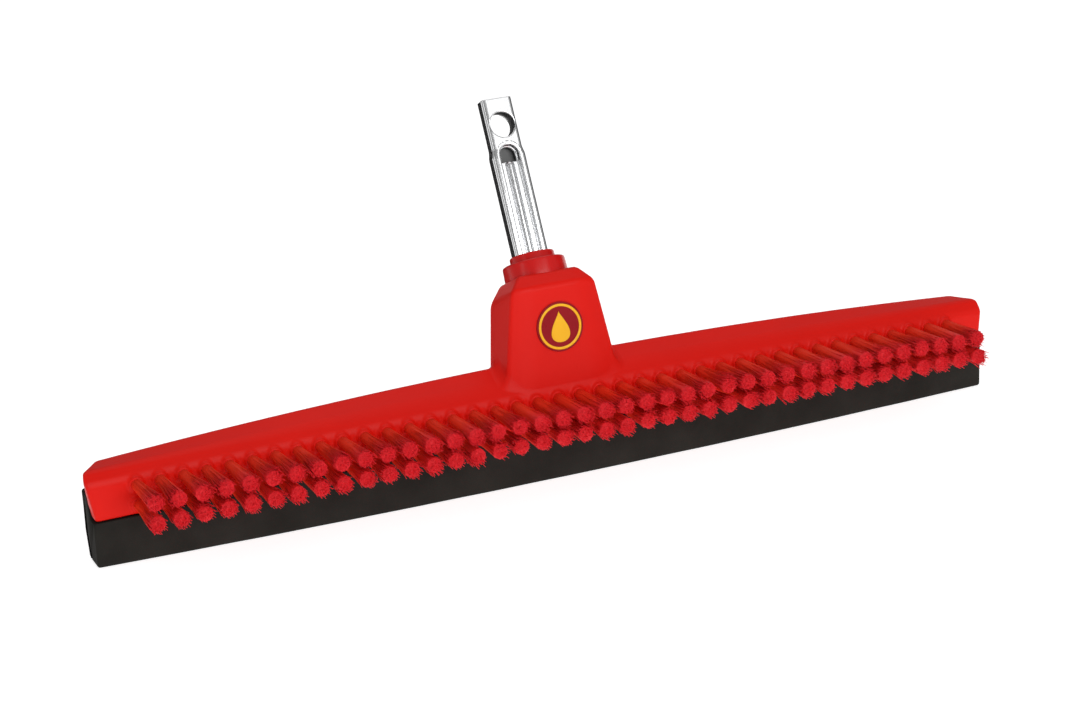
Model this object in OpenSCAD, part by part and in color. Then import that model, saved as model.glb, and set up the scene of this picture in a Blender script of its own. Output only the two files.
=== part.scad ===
// Floor squeegee head with a double foam lip, a two-row scrubbing brush
// along its front and a quick-connect tang for a handle.
// Profiles across the head are given at mid-length, with Y towards the back,
// Z up, and the origin in the middle of the front lip's wiping face.

/* [Head] */
// Length of the moulded body along its front
body_l = 427; // [320:1:540]
// How far the middle of the head bows forward of its ends
bow = 5.5; // [2:0.1:9]
// How far the brush bar arches up in the middle
bar_arch = 4; // [1:0.1:6]
// How far the top ridge arches up in the middle
ridge_arch = 10.4; // [6:0.1:14]
// Set-back of the ends of the body at the back
end_rake = 6; // [2:0.1:9]
// Overhang of the top's front corners past the bar's lower edge
end_over = 2.6; // [0:0.1:4]

/* [Body section] */
// Front of the brush bar at its lower edge
bar_y = -4.5; // [-5.5:0.1:-4]
// Height of the lower edge of the walls at mid-length
wall_low_z = 24.5; // [23:0.1:26]
// Height of the brush bar's face, up to the chamfer
bar_h = 16.5; // [16:0.1:22]
// Backward lean of the bar's face over its height
bar_lean = 1.6; // [0:0.1:3]
// Width of the chamfer above the bar
chamfer_w = 4.5; // [2:0.1:7]
// Depth of the sloping top, from the chamfer to the ridge
top_d = 11; // [9:0.1:16]
// Rise of the sloping top at mid-length
top_rise = 5.8; // [3:0.1:9]
// Chamfer along the back of the ridge
back_chamfer = 2.5; // [1:0.1:4]
// Thickness of the brush bar
bar_t = 6.4; // [6.4:0.1:8]
// Thickness of the back wall
back_t = 2.6; // [2:0.1:4]
// Thickness of the roof at its thinnest
roof_t = 3; // [2:0.1:4]
// Thickness of the cross ribs under the roof
rib_t = 2; // [1.5:0.1:3]
// Number of cross ribs
rib_n = 13; // [5:2:21]
// Distance of the outermost ribs from the body's ends
rib_end = 15; // [12:1:30]

/* [Lips] */
// How far the lips stand out past each end of the bar's lower edge
lip_over = 1.1; // [0:0.1:2]
// Depth of the front lip's wiping face
lip_foot = 9.9; // [8:0.1:11]
// Thickness of the rear lip
rear_lip_t = 3.4; // [2.5:0.1:4.5]
// Gap between the two lips
lip_gap = 0.3; // [0.2:0.05:0.6]
// How far the lips lean forward at the bottom
lip_sweep = 3.3; // [1:0.1:3.6]
// Height over which the lips lean
lip_sweep_h = 12; // [8:0.5:16]
// How far the rear lip stops short of the floor
rear_lip_up = 0.6; // [0.2:0.1:2]

/* [Rail] */
// Sheet thickness of the lip rail
rail_t = 0.8; // [0.5:0.1:1.2]
// Height of the lip rail
rail_h = 8; // [6:0.5:8]
// Height of the rail's web above the floor
rail_z = 33; // [33:0.5:34]
// Set-back of the rail's ends behind the body's back corners
rail_short = 2; // [0:0.5:6]
// Number of rail screws
screw_n = 6; // [4:2:8]
// Distance of the outermost screws from the body's ends
screw_end = 25; // [20:1:40]
// Radius of a rail screw's shank
screw_r = 1.7; // [1.4:0.1:2]
// Length of a rail screw under its head
screw_l = 7; // [6:0.5:8]
// Radius of a rail screw's head
screw_head_r = 3.2; // [2.8:0.1:3.6]
// Height of a rail screw's head
screw_head_h = 2; // [1.5:0.1:2.2]
// Wall of the bosses that the screws bite into
boss_wall = 2.4; // [1.5:0.1:3]

/* [Brush] */
// Number of tufts in each row
tuft_n = 40; // [20:1:40]
// Distance between neighbouring tufts
pitch = 10; // [8:0.1:10.2]
// Distance between the two rows of tufts
row_gap = 8.7; // [8:0.1:9.2]
// Radius of a tuft in its hole
tuft_r = 2.5; // [1.8:0.1:2.6]
// Radius of a tuft at its trimmed end
tuft_end_r = 4.2; // [2.6:0.1:4.2]
// Free length of a tuft
tuft_l = 30; // [24:0.5:40]
// Upward tilt of the tufts in degrees
tuft_tilt = 3.5; // [0:0.5:6]
// Depth of a tuft hole in the bar
tuft_hole_d = 5; // [4:0.1:5.2]
// Height of the moulded collar around a tuft
collar_h = 1.2; // [0.6:0.1:2]
// Radius of the moulded collar around a tuft
collar_r = 3.4; // [2.9:0.1:3.8]
// Flare of the moulded collar towards its foot
collar_flare = 0.4; // [0:0.1:0.6]
// Distance of the upper tufts below the chamfer
tuft_down = 3.4; // [3.2:0.1:4.5]
// Thickness of the wire anchor that holds a tuft
anchor_t = 0.4; // [0.3:0.05:0.6]

/* [Neck] */
// Width of the neck at its base
neck_base_w = 59; // [50:0.5:66]
// Width of the neck at its shoulder
neck_w = 44.6; // [40:0.2:50]
// Width of the neck's flat front at its base
face_base_w = 37; // [30:0.5:42]
// Width of the neck's flat front at its shoulder
face_w = 28; // [24:0.5:32]
// Depth of the neck's front facets
facet_d = 2.4; // [1:0.1:4]
// Height of the neck's shoulder bevel
shoulder_h = 7; // [4:0.5:9]
// Wall of the neck in front of the socket's ring, at the shoulder
neck_front = 4.3; // [3:0.1:7]
// Wall of the neck behind the socket's ring, at the shoulder
neck_back = 3; // [2:0.1:5]
// Width of the neck's back at its shoulder
neck_back_w = 26.6; // [20:0.2:34]
// Distance of the neck's widest place behind the socket's axis
neck_mid = 6; // [0:0.5:9]

/* [Handle socket] */
// Backward lean of the socket and tang in degrees
lean = 28; // [22:0.5:32]
// Distance of the socket's top behind the origin
socket_y = 31.8; // [28:0.1:34]
// Height of the socket's top
socket_z = 92.5; // [90:0.5:100]
// How far the socket's axis lies in front of the tang's
socket_fwd = 1.5; // [0:0.1:2]
// Radius of the socket's lower ring
ring_r = 14.3; // [13:0.1:15]
// Height of the socket's lower ring
ring_h = 7; // [5:0.1:9]
// Radius of the socket's upper ring
cap_r = 10; // [9.6:0.1:12]
// Height of the socket's upper ring
cap_h = 3.5; // [2:0.1:5]
// Radius of the plug inside the neck
plug_r = 11; // [10.6:0.1:11.2]
// Length of the plug inside the neck
plug_l = 27; // [24:0.5:28]

/* [Tang] */
// Width of the tang
tang_w = 16; // [14:0.1:16.6]
// Thickness of the tang from front to back
tang_d = 7.6; // [7:0.1:8.4]
// Length of the tang that stands out of the socket
tang_l = 71.7; // [58:0.1:95]
// Length of the tang held inside the socket
tang_in = 34; // [31:0.5:34.5]
// Corner radius of the tang
tang_round = 2; // [1.6:0.1:2.5]
// Sheet thickness of the tang
tang_t = 1.4; // [1:0.1:1.5]
// Length of the narrower head of the tang
head_l = 24.8; // [20:0.1:30]
// Step at each side from the tang to its narrower head
head_step = 0.7; // [0.3:0.1:1]
// Radius of the latch hole
latch_r = 5.8; // [4:0.1:5.8]
// Distance of the latch hole below the tang's top
latch_down = 12.2; // [10:0.1:13]
// Width of the pressed channel in the front
channel_w = 9; // [6:0.1:9.4]
// Depth of the pressed channel
channel_d = 3; // [1.5:0.1:3.4]
// Distance of the channel's end below the tang's top
channel_down = 21.5; // [20.5:0.1:24]
// Radius of the bead along the channel's floor
bead_r = 1.8; // [1:0.1:2.2]
// Distance of the bead's end below the channel's end
bead_down = 8; // [4:0.5:14]
// Radius of the cross pin
pin_r = 2; // [1.5:0.1:2.4]
// Distance of the cross pin below the socket's top
pin_down = 27; // [24:0.5:29]

/* [Badge] */
// Radius of the badge
badge_r = 11; // [8:0.1:12]
// Thickness of the badge
badge_t = 1.6; // [1.2:0.1:2]
// Depth that the badge sinks into the neck
badge_sunk = 0.8; // [0.4:0.1:0.9]
// Height of the badge's centre
badge_z = 68; // [65:0.5:71]

/* [Hidden] */
// Length of the lips
lip_l = body_l + 2 * lip_over;
// Width of the back of the neck's top
neck_top_w = 2 * plug_r - 4;
$fn = 48;
// Facets of the long shallow arcs, per full circle
arc_fn = 1440;
// A length past every surface that a cut has to clear
past = 60;
// Clearance between pieces that slide or press together
clear = 0.1;
// The latch hole stays clear of the tang's side walls
latch_hole_r = min(latch_r, tang_w / 2 - head_step - tang_t - clear);
// Clearance between the foam lips and the moulded body
foam_gap = 0.3;
// How far a piece of a union reaches into its neighbour
sink = 1;
// How far a cut or a bore runs past the face that it opens
over = 1;
// Thickness of the flat slices that a hull joins
slice = 0.02;

red = [0.83, 0.09, 0.06];
socket_red = [0.79, 0.09, 0.06];
dark_red = [0.5, 0.06, 0.09];
bristle_red = [0.86, 0.13, 0.12];
foam_black = [0.13, 0.13, 0.12];
steel = [0.78, 0.79, 0.8];

half = body_l / 2;

// Section of the body at mid-length: the points where its faces meet
bar_low = [bar_y, wall_low_z];
bar_top = [bar_y + bar_lean, wall_low_z + bar_h];
top_front = bar_top + [chamfer_w, chamfer_w];
ridge = top_front + [top_d, top_rise];
back_top = ridge + [back_chamfer, -back_chamfer];
back_low = [back_top[0], wall_low_z];
bar_in = bar_y + bar_t;
back_in = back_top[0] - back_t;
roof_z = top_front[1] - roof_t;

// Rail and lips: the rail fills the gap between the walls
rail_y = bar_in + clear;
rail_back = back_in - clear;
rail_low = rail_z + rail_t - rail_h;
rail_l = body_l - 2 * end_rake - 2 * rail_short;
rail_mid = (rail_y + rail_back) / 2;
rail_top = rail_z + rail_t;
grip_y = rail_y + rail_t + clear;
grip_back = rail_back - rail_t - clear;
grip_slit = grip_back - rear_lip_t;
lip_top = rail_z - screw_head_h - foam_gap - clear;
foot_top = rail_low - foam_gap;
bend_z = rail_low - sink;
foot_y = -lip_foot / 2;
slit_y = lip_foot / 2;
rear_y = slit_y + lip_gap;
foot_edge = 0.6;

// Tufts: where they leave their collars at mid-length
tuft_z = [bar_top[1] - tuft_down, bar_top[1] - tuft_down - row_gap];
tuft_y = [for (z = tuft_z) bar_y + bar_lean * (z - wall_low_z) / bar_h - collar_h];
tuft_x = [for (i = [0 : tuft_n - 1]) (i - (tuft_n - 1) / 2) * pitch];

// Neck: heights in the socket's own frame, and the slope of its front
neck_top = -cap_h - ring_h;
shoulder = neck_top - shoulder_h;
face_v = -ring_r - neck_front;
facet_in = 2;
neck_foot = bar_top + [0.2, -2];
foot_d = back_top[0] - foam_gap - neck_foot[0];
front_v = face_v - socket_fwd;
shoulder_y = socket_y + shoulder * sin(lean) + front_v * cos(lean);
shoulder_z = socket_z + shoulder * cos(lean) - front_v * sin(lean);
face_lean = atan2(shoulder_y - neck_foot[0], shoulder_z - neck_foot[1]);
badge_y = neck_foot[0] + (badge_z - neck_foot[1]) * tan(face_lean);

// Ribs and rail screws, spread evenly along the body
function spread(n, l) = [for (i = [0 : n - 1]) (i / (n - 1) - 0.5) * l];
rib_x = spread(rib_n, body_l - 2 * rib_end);
screw_x = spread(screw_n, body_l - 2 * screw_end);

// Radius of the arc over the body whose middle stands off its ends by sag
function arc_radius(sag) = (half * half + sag * sag) / (2 * sag);
// How far that arc has fallen at a distance x from its middle
function fall(x, sag) = arc_radius(sag) - sqrt(pow(arc_radius(sag), 2) - x * x);
// Where a point of the section has moved to at x: back by b, down by a
function along(p, x, b, a) =
    let (sag = norm([b, a]), f = fall(x, sag) / sag)
    [x, p[0] + b * f, p[1] - a * f];

// The body's outer skin: six edges, each with its arch and its half length
top_half = half + end_over;
back_half = half - end_rake;
edges = [[bar_low, bar_arch, half], [bar_top, bar_arch, top_half], [top_front, bar_arch, top_half],
         [ridge, ridge_arch, back_half], [back_top, ridge_arch, back_half],
         [back_low, bar_arch, back_half]];
skin_n = 40;
skin_points = [for (i = [0 : skin_n]) for (e = edges)
    along(e[0], (2 * i / skin_n - 1) * e[2], bow, e[1])];
edge_n = len(edges);

tuft_names = [for (i = [1 : tuft_n]) str("tuft_pair_", i < 10 ? "0" : "", i)];

// Sweeps a section along the head on an arc that goes back by b and down
// by a towards the body's ends
module sweep(b, a) {
    sag = norm([b, a]);
    tilt = atan2(a, b);
    reach = asin((half + 6) / arc_radius(sag));
    rotate([-tilt, 0, 0])
        rotate([0, 0, -90])
            translate([-arc_radius(sag), 0, 0])
                rotate([0, 0, -reach])
                    rotate_extrude(angle = 2 * reach, $fn = arc_fn)
                        translate([arc_radius(sag), 0])
                            rotate(-tilt)
                                mirror([1, 0])
                                    children();
}

// Keeps the middle l of what is swept
module trim(l) {
    intersection() {
        translate([-l / 2, -past, -past])
            cube([l, 2 * past, 4 * past]);
        children();
    }
}

// Puts a piece on the tang's axis, with its origin at the socket's top
module at_tang() {
    translate([0, socket_y, socket_z])
        rotate([-lean, 0, 0])
            children();
}

// Puts a piece on the socket's axis, with its origin at the socket's top
module at_socket() {
    at_tang()
        translate([0, -socket_fwd, 0])
            children();
}

// Puts a piece on the front of the neck, facing out, at the badge's centre
module at_badge() {
    translate([0, badge_y, badge_z])
        rotate([90 - face_lean, 0, 0])
            children();
}

// Puts a piece where tuft number i of row k leaves its collar, facing out
module at_tuft(i, k) {
    translate(along([tuft_y[k], tuft_z[k]], tuft_x[i], bow, bar_arch))
        rotate([90 - tuft_tilt, 0, 0])
            children();
}

// A rectangle with round corners, centred
module rounded(w, d, r) {
    square([w - 2 * r, d], center = true);
    square([w, d - 2 * r], center = true);
    for (x = [-1, 1])
        for (y = [-1, 1])
            translate([x * (w / 2 - r), y * (d / 2 - r)])
                circle(r);
}

module skin() {
    quads = [for (i = [0 : skin_n - 1]) for (k = [0 : edge_n - 1])
        [i * edge_n + k, i * edge_n + (k + 1) % edge_n,
         (i + 1) * edge_n + (k + 1) % edge_n, (i + 1) * edge_n + k]];
    left = [for (k = [1 : edge_n - 2]) [0, k + 1, k]];
    right = [for (k = [1 : edge_n - 2]) [for (v = [0, k, k + 1]) skin_n * edge_n + v]];
    polyhedron(skin_points, concat(quads, left, right));
}

// The neck's outline in the socket's frame at height z, from its flat front
// face wide at front to its back_w wide at back
module neck_slice(z, face, side, front, facet, back_w, back) {
    translate([0, 0, z])
        linear_extrude(slice)
            polygon([[-face / 2, front], [face / 2, front], [side / 2 - facet_in, front + facet],
                     [side / 2, neck_mid], [back_w / 2, back], [-back_w / 2, back],
                     [-side / 2, neck_mid], [-side / 2 + facet_in, front + facet]]);
}

module neck() {
    hull() {
        translate([0, neck_foot[0], neck_foot[1]])
            linear_extrude(slice)
                polygon([[-face_base_w / 2, 0], [face_base_w / 2, 0],
                         [neck_base_w / 2 - facet_in, facet_d], [neck_base_w / 2, foot_d],
                         [-neck_base_w / 2, foot_d], [-neck_base_w / 2 + facet_in, facet_d]]);
        at_socket() {
            neck_slice(shoulder, face_w, neck_w, face_v, facet_d, neck_back_w, ring_r + neck_back);
            neck_slice(neck_top - slice, 2 * ring_r, 2 * ring_r + 2 * facet_in, -ring_r, sink,
                       neck_top_w, ring_r + sink);
        }
    }
}

// Ribs and bosses stand on the rail and end inside the roof
module cross_ribs() {
    for (x = rib_x) {
        top = along([bar_in, roof_z], x, bow, bar_arch);
        translate([x - rib_t / 2, top[1] - sink, rail_top])
            cube([rib_t, back_in - bar_in + 2 * sink, top[2] + sink - rail_top]);
    }
}

module screw_bosses() {
    for (x = screw_x) {
        top = along([rail_mid, roof_z], x, bow, bar_arch);
        translate([x, top[1], rail_top])
            cylinder(r = screw_r + boss_wall, h = top[2] + sink - rail_top);
    }
}

module body_shell() {
    color(red)
        difference() {
            union() {
                difference() {
                    skin();
                    sweep(bow, bar_arch)
                        translate([bar_in, -past])
                            square([back_in - bar_in, roof_z + past]);
                }
                cross_ribs();
                screw_bosses();
                neck();
                for (i = [0 : tuft_n - 1])
                    for (k = [0, 1])
                        at_tuft(i, k)
                            translate([0, 0, -collar_h - sink])
                                cylinder(r1 = collar_r + collar_flare, r2 = collar_r - collar_flare,
                                         h = collar_h + sink);
            }
            for (i = [0 : tuft_n - 1])
                for (k = [0, 1])
                    at_tuft(i, k)
                        translate([0, 0, -collar_h - tuft_hole_d])
                            cylinder(r = tuft_r + clear / 2, h = collar_h + tuft_hole_d + over);
            for (x = screw_x)
                translate([x, along([rail_mid, 0], x, bow, bar_arch)[1], rail_z])
                    cylinder(r = screw_r, h = screw_l);
            at_socket()
                translate([0, 0, neck_top - plug_l])
                    cylinder(r = plug_r, h = plug_l + past);
            at_badge()
                translate([0, 0, -badge_sunk])
                    cylinder(r = badge_r, h = past / 4);
        }
}

module handle_socket() {
    color(socket_red)
        at_socket()
            difference() {
                union() {
                    translate([0, 0, neck_top - plug_l])
                        cylinder(r = plug_r, h = plug_l + sink);
                    translate([0, 0, neck_top])
                        cylinder(r = ring_r, h = ring_h);
                    translate([0, 0, -cap_h])
                        cylinder(r = cap_r, h = cap_h);
                }
                translate([0, socket_fwd, -tang_in])
                    linear_extrude(tang_in + over)
                        rounded(tang_w, tang_d, tang_round);
                translate([0, -past / 2, -pin_down])
                    rotate([-90, 0, 0])
                        cylinder(r = pin_r, h = past);
            }
}

// The channel pressed into the tang's front, grown by g on every side
module channel(g) {
    end_z = tang_l - channel_down - channel_w / 2;
    translate([-channel_w / 2 - g, -tang_d / 2 - over, -tang_in - over])
        cube([channel_w + 2 * g, channel_d + over + g, tang_in + over + end_z]);
    translate([0, -tang_d / 2 - over, end_z])
        rotate([-90, 0, 0])
            cylinder(r = channel_w / 2 + g, h = channel_d + over + g);
}

module tang_blank() {
    translate([0, 0, -tang_in])
        linear_extrude(tang_in + tang_l - head_l)
            rounded(tang_w, tang_d, tang_round);
    linear_extrude(tang_l)
        rounded(tang_w - 2 * head_step, tang_d, tang_round);
}

// The hollow inside the folded sheet
module tang_hollow() {
    translate([0, 0, -tang_in - over])
        linear_extrude(tang_in + tang_l + 2 * over)
            rounded(tang_w - 2 * head_step - 2 * tang_t, tang_d - 2 * tang_t, tang_round - tang_t);
}

module tang() {
    color(steel)
        at_tang()
            difference() {
                union() {
                    difference() {
                        tang_blank();
                        tang_hollow();
                    }
                    intersection() {
                        tang_blank();
                        channel(tang_t);
                    }
                }
                difference() {
                    channel(0);
                    translate([0, -tang_d / 2 + channel_d, -tang_in - over])
                        cylinder(r = bead_r, h = tang_in + over + tang_l - channel_down - bead_down);
                }
                translate([0, -past / 2, tang_l - latch_down])
                    rotate([-90, 0, 0])
                        cylinder(r = latch_hole_r, h = past);
                translate([0, -past / 2, -pin_down])
                    rotate([-90, 0, 0])
                        cylinder(r = pin_r, h = past);
            }
}

module tang_pin() {
    color(steel)
        at_socket()
            translate([0, -plug_r + sink, -pin_down])
                rotate([-90, 0, 0])
                    cylinder(r = pin_r, h = 2 * plug_r - 2 * sink);
}

module badge() {
    color(dark_red)
        at_badge()
            translate([0, 0, -badge_sunk])
                cylinder(r = badge_r, h = badge_t);
}

// The space of the walls and the neck above the lips, grown by a clearance
module wall_space() {
    sweep(bow, bar_arch)
        translate([-past / 2, wall_low_z - foam_gap])
            square([past / 2 + bar_in + foam_gap, past]);
}

module front_lip() {
    color(foam_black)
        trim(lip_l)
            difference() {
                sweep(bow, 0)
                    polygon([[foot_y + foot_edge, 0], [slit_y - foot_edge, 0], [slit_y, foot_edge],
                             [slit_y + lip_sweep, lip_sweep_h],
                             [grip_slit - lip_gap, bend_z], [grip_slit - lip_gap, lip_top],
                             [grip_y, lip_top], [grip_y, foot_top],
                             [foot_y, foot_top], [foot_y, foot_edge]]);
                wall_space();
            }
}

module rear_lip() {
    color(foam_black)
        trim(lip_l)
            sweep(bow, 0)
                polygon([[rear_y, rear_lip_up], [rear_y + rear_lip_t, rear_lip_up],
                         [rear_y + rear_lip_t + lip_sweep, lip_sweep_h],
                         [grip_back, bend_z], [grip_back, lip_top],
                         [grip_slit, lip_top], [grip_slit, bend_z],
                         [rear_y + lip_sweep, lip_sweep_h]]);
}

module lip_rail() {
    color(steel)
        difference() {
            trim(rail_l)
                sweep(bow, 0)
                    difference() {
                        translate([rail_y, rail_low])
                            square([rail_back - rail_y, rail_h]);
                        translate([rail_y + rail_t, rail_low - over])
                            square([rail_back - rail_y - 2 * rail_t, rail_h + over - rail_t]);
                    }
            for (x = screw_x)
                translate([x, along([rail_mid, 0], x, bow, bar_arch)[1], rail_z - over])
                    cylinder(r = screw_r, h = rail_t + 2 * over);
        }
}

module rail_screw() {
    difference() {
        union() {
            translate([0, 0, -screw_head_h])
                cylinder(r = screw_head_r, h = screw_head_h);
            cylinder(r = screw_r, h = screw_l);
        }
        translate([0, 0, -screw_head_h - over])
            cylinder(r = screw_r, h = screw_head_h / 2 + over, $fn = 6);
    }
}

module rail_screws() {
    color(steel)
        for (x = screw_x)
            translate([x, along([rail_mid, 0], x, bow, bar_arch)[1], rail_z])
                rail_screw();
}

// The wire anchors of row k, pressed into the ends of the tuft holes
module anchors(k) {
    color(steel)
        for (i = [0 : tuft_n - 1])
            at_tuft(i, k)
                translate([-tuft_r * 0.8, -tuft_r * 0.45, -collar_h - tuft_hole_d])
                    cube([tuft_r * 1.6, tuft_r * 0.9, anchor_t]);
}

module upper_anchors() { anchors(0); }
module lower_anchors() { anchors(1); }

module tuft(i, k) {
    root = collar_h + tuft_hole_d - anchor_t;
    at_tuft(i, k) {
        translate([0, 0, -root])
            cylinder(r = tuft_r, h = root + sink);
        cylinder(r1 = tuft_r, r2 = tuft_end_r, h = tuft_l);
    }
}

module tuft_pair(i) {
    color(bristle_red)
        for (k = [0, 1])
            tuft(i, k);
}

body_shell();
handle_socket();
tang();
tang_pin();
badge();
front_lip();
rear_lip();
lip_rail();
rail_screws();
upper_anchors();
lower_anchors();
for (i = [0 : tuft_n - 1])
    tuft_pair(i);
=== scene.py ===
"""Looks of a floor squeegee head with a scrubbing brush, built around its CAD frame.

Shapes are worked out in millimetres in the CAD frame: X along the head, Y to the
back, Z up, and the origin in the middle of the front lip's wiping face.
"""
import math

import bpy
import numpy as np
from mathutils import Matrix, Vector


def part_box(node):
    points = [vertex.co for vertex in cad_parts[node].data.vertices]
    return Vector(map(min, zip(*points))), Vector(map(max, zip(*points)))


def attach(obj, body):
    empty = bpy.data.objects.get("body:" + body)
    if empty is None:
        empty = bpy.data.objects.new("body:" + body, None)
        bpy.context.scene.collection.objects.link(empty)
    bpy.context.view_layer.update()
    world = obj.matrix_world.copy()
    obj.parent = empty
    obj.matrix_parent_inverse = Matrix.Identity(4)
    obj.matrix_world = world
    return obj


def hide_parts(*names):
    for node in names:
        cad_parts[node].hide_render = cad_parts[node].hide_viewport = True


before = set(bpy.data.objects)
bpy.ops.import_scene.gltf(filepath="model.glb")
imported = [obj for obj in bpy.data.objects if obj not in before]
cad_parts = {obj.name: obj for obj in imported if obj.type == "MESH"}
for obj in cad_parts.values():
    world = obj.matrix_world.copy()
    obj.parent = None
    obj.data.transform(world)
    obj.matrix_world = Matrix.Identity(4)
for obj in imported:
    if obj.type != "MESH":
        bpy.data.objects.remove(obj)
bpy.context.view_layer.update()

MM = 0.001

# Head: half length at the bar's lower edge, bow and arches of its long edges
HALF = 213.5
BOW = 5.5
BAR_ARCH = 4.0
RIDGE_ARCH = 10.4
END_OVER = 2.6
END_RAKE = 6.0

# Section of the body at mid-length, as (y, z)
BAR_LOW = (-4.5, 24.5)
BAR_TOP = (-2.9, 41.0)
TOP_FRONT = (1.6, 45.5)
TOP_DEPTH = 11.0
TOP_RISE = 5.8
BACK_Y = 15.1
CAVITY_Y = (1.9, 12.5)
ROOF_Z = 42.5
RAIL_TOP = 34.1
LAST_RIB = 198.5

# Tufts
TUFTS = 40
PITCH = 10.0
TUFT_Z = (37.6, 28.9)
TUFT_TILT = math.radians(3.5)
TUFT_LENGTH = 30.0
TUFT_ROOT = 2.5
TUFT_END = 4.1
COLLAR_H = 1.2
COLLAR_R = 3.15
TUFT_SUNK = 1.0

# Neck, socket and tang: the axis leans back
LEAN = math.radians(28.0)
SOCKET_Y, SOCKET_Z = 31.8, 92.5
SOCKET_FWD = 1.5
RING_R, RING_H = 14.3, 7.0
CAP_R, CAP_H = 10.0, 3.5
NECK_TOP = -CAP_H - RING_H
SHOULDER = NECK_TOP - 7
TANG_W, TANG_D, TANG_L = 16.0, 7.6, 71.7
TANG_T, TANG_BEND = 1.4, 2.0
HEAD_L, HEAD_STEP = 24.8, 0.7
LATCH_R, LATCH_DOWN = 5.8, 12.2
CHANNEL_W, CHANNEL_D, CHANNEL_DOWN = 9.0, 3.0, 21.5
BEAD_R, BEAD_DOWN = 1.8, 8.0
NECK_FOOT = (BAR_TOP[0] + 0.2, BAR_TOP[1] - 2)
FACE_V = -RING_R - 4.3


# ---------------------------------------------------------------- shape fields

def round_cut(distances, r):
    """Where all the half spaces meet, with their edges rounded to about r."""
    most, corner = None, 0
    for d in distances:
        most = d if most is None else np.maximum(most, d)
        corner = corner + np.maximum(d + r, 0) ** 2
    return np.minimum(most, -r) + np.sqrt(corner)


def round_join(a, b, r):
    """Both solids, with a fillet of about r where they meet."""
    corner = np.sqrt(np.maximum(r - a, 0) ** 2 + np.maximum(r - b, 0) ** 2)
    return np.maximum(r, np.minimum(a, b)) - corner


def round_minus(a, b, r):
    """Solid a without solid b, with the cut's rim rounded to about r."""
    return round_cut([a, -b], r)


def ease(t):
    t = np.clip(t, 0, 1)
    return t * t * (3 - 2 * t)


def line_distance(y, z, p, q):
    """Signed distance to the line from p to q, positive on its left."""
    dy, dz = q[0] - p[0], q[1] - p[1]
    return (dy * (z - p[1]) - dz * (y - p[0])) / np.hypot(dy, dz)


def fall_share(x, sag):
    """How far an arc over the body has fallen at x, as a share of its sag."""
    radius = (HALF ** 2 + sag ** 2) / (2 * sag)
    return (radius - np.sqrt(radius ** 2 - x ** 2)) / sag


def bar_share(x):
    return fall_share(x, math.hypot(BOW, BAR_ARCH))


def ridge_share(x):
    return fall_share(x, math.hypot(BOW, RIDGE_ARCH))


# ---------------------------------------------------------------- surface nets

def grid_field(field, xs, ys, zs, slab=48):
    """Values of the field at every grid point, worked out in slabs along x."""
    values = np.empty((len(xs), len(ys), len(zs)), np.float32)
    for i in range(0, len(xs), slab):
        part = xs[i:i + slab, None, None]
        values[i:i + slab] = field(part, ys[None, :, None], zs[None, None, :])
    return values


def cell_corners(values):
    n = [s - 1 for s in values.shape]
    return [((i, j, k), values[i:i + n[0], j:j + n[1], k:k + n[2]])
            for i in (0, 1) for j in (0, 1) for k in (0, 1)]


def net_points(values, xs, ys, zs):
    """One point in each cell that the surface crosses, and each cell's number."""
    corners = cell_corners(values)
    inside = sum((c < 0).astype(np.int8) for _, c in corners)
    cells = np.argwhere((inside > 0) & (inside < 8))
    number = np.full(inside.shape, -1, np.int64)
    number[tuple(cells.T)] = np.arange(len(cells))
    at = {o: c[tuple(cells.T)] for o, c in corners}
    total, count = np.zeros((len(cells), 3)), np.zeros(len(cells))
    for a in at:
        for axis in range(3):
            if a[axis]:
                continue
            b = tuple(1 if n == axis else a[n] for n in range(3))
            crossed = (at[a] < 0) != (at[b] < 0)
            gap = np.where(crossed, at[a] - at[b], 1)
            spot = np.tile(np.array(a, float), (len(cells), 1))
            spot[:, axis] += at[a] / gap
            total[crossed] += spot[crossed]
            count += crossed
    places = cells + total / count[:, None]
    axes = [np.interp(places[:, n], np.arange(len(s)), s) for n, s in enumerate((xs, ys, zs))]
    return np.stack(axes, 1), number


def net_faces(values, number):
    """A quad across every grid edge that the surface crosses."""
    inside, faces = values < 0, []
    for axis in range(3):
        u, v = (axis + 1) % 3, (axis + 2) % 3
        low = [slice(1, -1)] * 3
        high = [slice(1, -1)] * 3
        low[axis], high[axis] = slice(0, -1), slice(1, None)
        a, b = inside[tuple(low)], inside[tuple(high)]
        for start, flip in ((a & ~b, False), (~a & b, True)):
            edges = np.argwhere(start)
            edges[:, u] += 1
            edges[:, v] += 1
            ring = []
            for du, dv in ((-1, -1), (0, -1), (0, 0), (-1, 0)):
                cell = edges.copy()
                cell[:, u] += du
                cell[:, v] += dv
                ring.append(number[tuple(cell.T)])
            quad = np.stack(ring[::-1] if flip else ring, 1)
            faces.append(quad)
    return np.concatenate(faces)


def slope(field, p, step=0.02):
    """The field's gradient at the points p."""
    found = np.empty_like(p)
    for axis in range(3):
        move = np.zeros(3)
        move[axis] = step
        ahead, behind = p + move, p - move
        found[:, axis] = (field(*ahead.T) - field(*behind.T)) / (2 * step)
    return found


def solid_from(field, low, high, steps, rounds=3):
    """Points, quads and normals of the surface where the field is zero."""
    xs, ys, zs = (np.arange(a, b + s, s) for a, b, s in zip(low, high, steps))
    values = grid_field(field, xs, ys, zs)
    points, number = net_points(values, xs, ys, zs)
    faces = net_faces(values, number)
    for _ in range(rounds):
        g = slope(field, points)
        move = field(*points.T)[:, None] * g / np.maximum((g * g).sum(1), 0.1)[:, None]
        points -= np.clip(move, -min(steps), min(steps))
    g = slope(field, points)
    normals = g / np.maximum(np.linalg.norm(g, axis=1), 1e-6)[:, None]
    return points, faces, normals


# ---------------------------------------------------------------- node groups

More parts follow.
